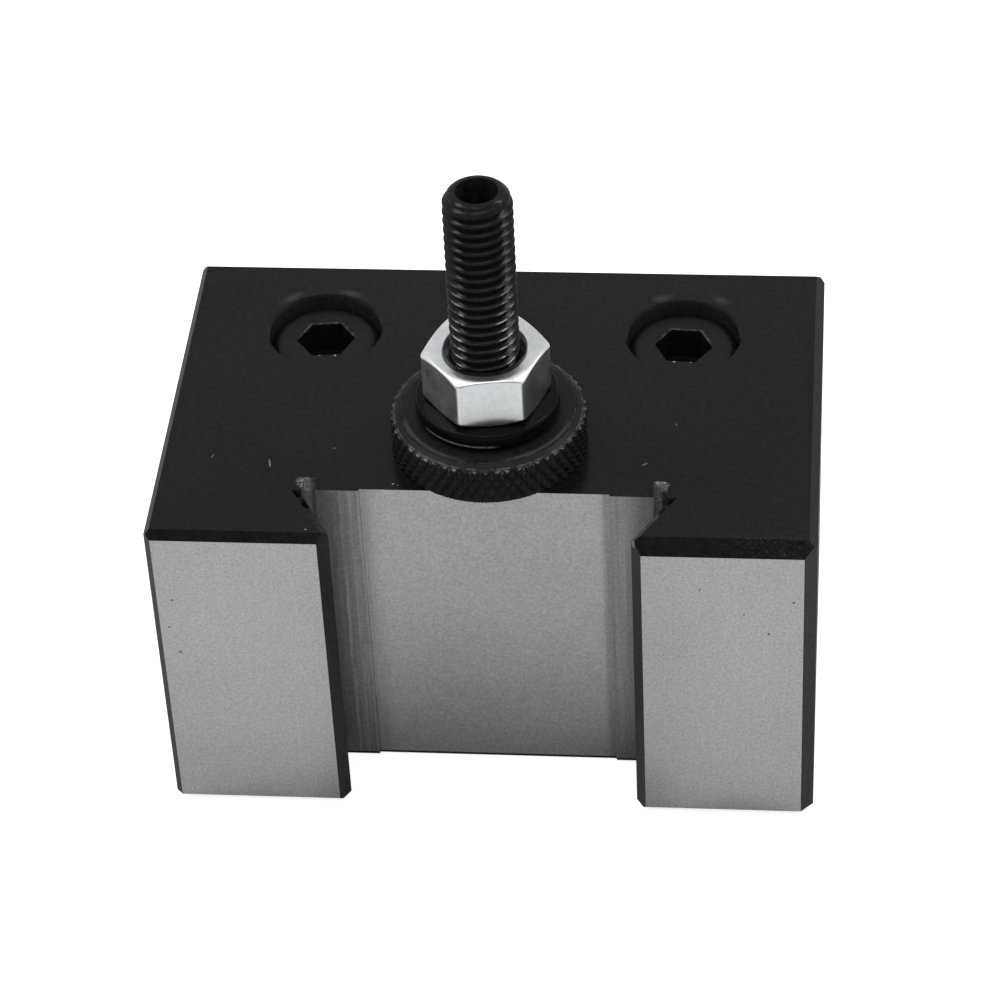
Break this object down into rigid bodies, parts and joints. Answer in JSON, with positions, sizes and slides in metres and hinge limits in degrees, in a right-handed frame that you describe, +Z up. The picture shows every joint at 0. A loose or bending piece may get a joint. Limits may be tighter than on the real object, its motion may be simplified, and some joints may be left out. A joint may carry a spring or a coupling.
{
  "type": "quick change tool holder",
  "caption": "Steel quick change tool holder block with a dovetail channel, a split bore for a round boring bar, clamp screws, and a height stud with a knurled thumb nut.",
  "frame": {"origin": "centre of the block's underside, which is also the bottom centre of the whole part", "axes": "+X along the block and its bar bore, +Y from the dovetail side to the slit side, +Z up along the height stud"},
  "size_m": [0.0762, 0.0506, 0.0776],
  "materials": {
    "black_steel": "black oxide, satin; the post faces, channel floor and flanks are ground bright",
    "black_screw": "black oxide with a film of oil, glossy",
    "black_nut": "black oxide, turned and knurled",
    "zinc": "bright zinc plating"
  },
  "bodies": {
    "holder": {"holder_body": "black_steel", "height_stud": "black_screw"},
    "washer": {"washer": "black_screw"},
    "thumb_nut": {"thumb_nut": "black_nut"},
    "lock_nut": {"lock_nut": "zinc"},
    "clamp_screw_left": {"clamp_screw_left": "black_screw"},
    "clamp_screw_right": {"clamp_screw_right": "black_screw"}
  },
  "joints": [
    {"name": "height_slide", "type": "slide", "parent": "holder", "child": "washer", "axis": [0, 0, 1], "range_m": [0, 0.02]},
    {"name": "thumb_nut_turn", "type": "hinge", "parent": "washer", "child": "thumb_nut", "pos_m": [0, -0.00745, 0.042], "axis": [0, 0, 1], "range_deg": [0, 5760]},
    {"name": "lock_nut_turn", "type": "hinge", "parent": "thumb_nut", "child": "lock_nut", "pos_m": [0, -0.00745, 0.0493], "axis": [0, 0, 1], "range_deg": [0, 90]},
    {"name": "clamp_screw_left_turn", "type": "hinge", "parent": "holder", "child": "clamp_screw_left", "pos_m": [-0.0215, 0.01255, 0.0405], "axis": [0, 0, 1], "range_deg": [0, 270]},
    {"name": "clamp_screw_right_turn", "type": "hinge", "parent": "holder", "child": "clamp_screw_right", "pos_m": [0.0215, 0.01255, 0.0405], "axis": [0, 0, 1], "range_deg": [0, 270]}
  ],
  "couplings": [
    {"joint": "height_slide", "follows": "thumb_nut_turn", "m_per_rad": 0.00019894}
  ]
}
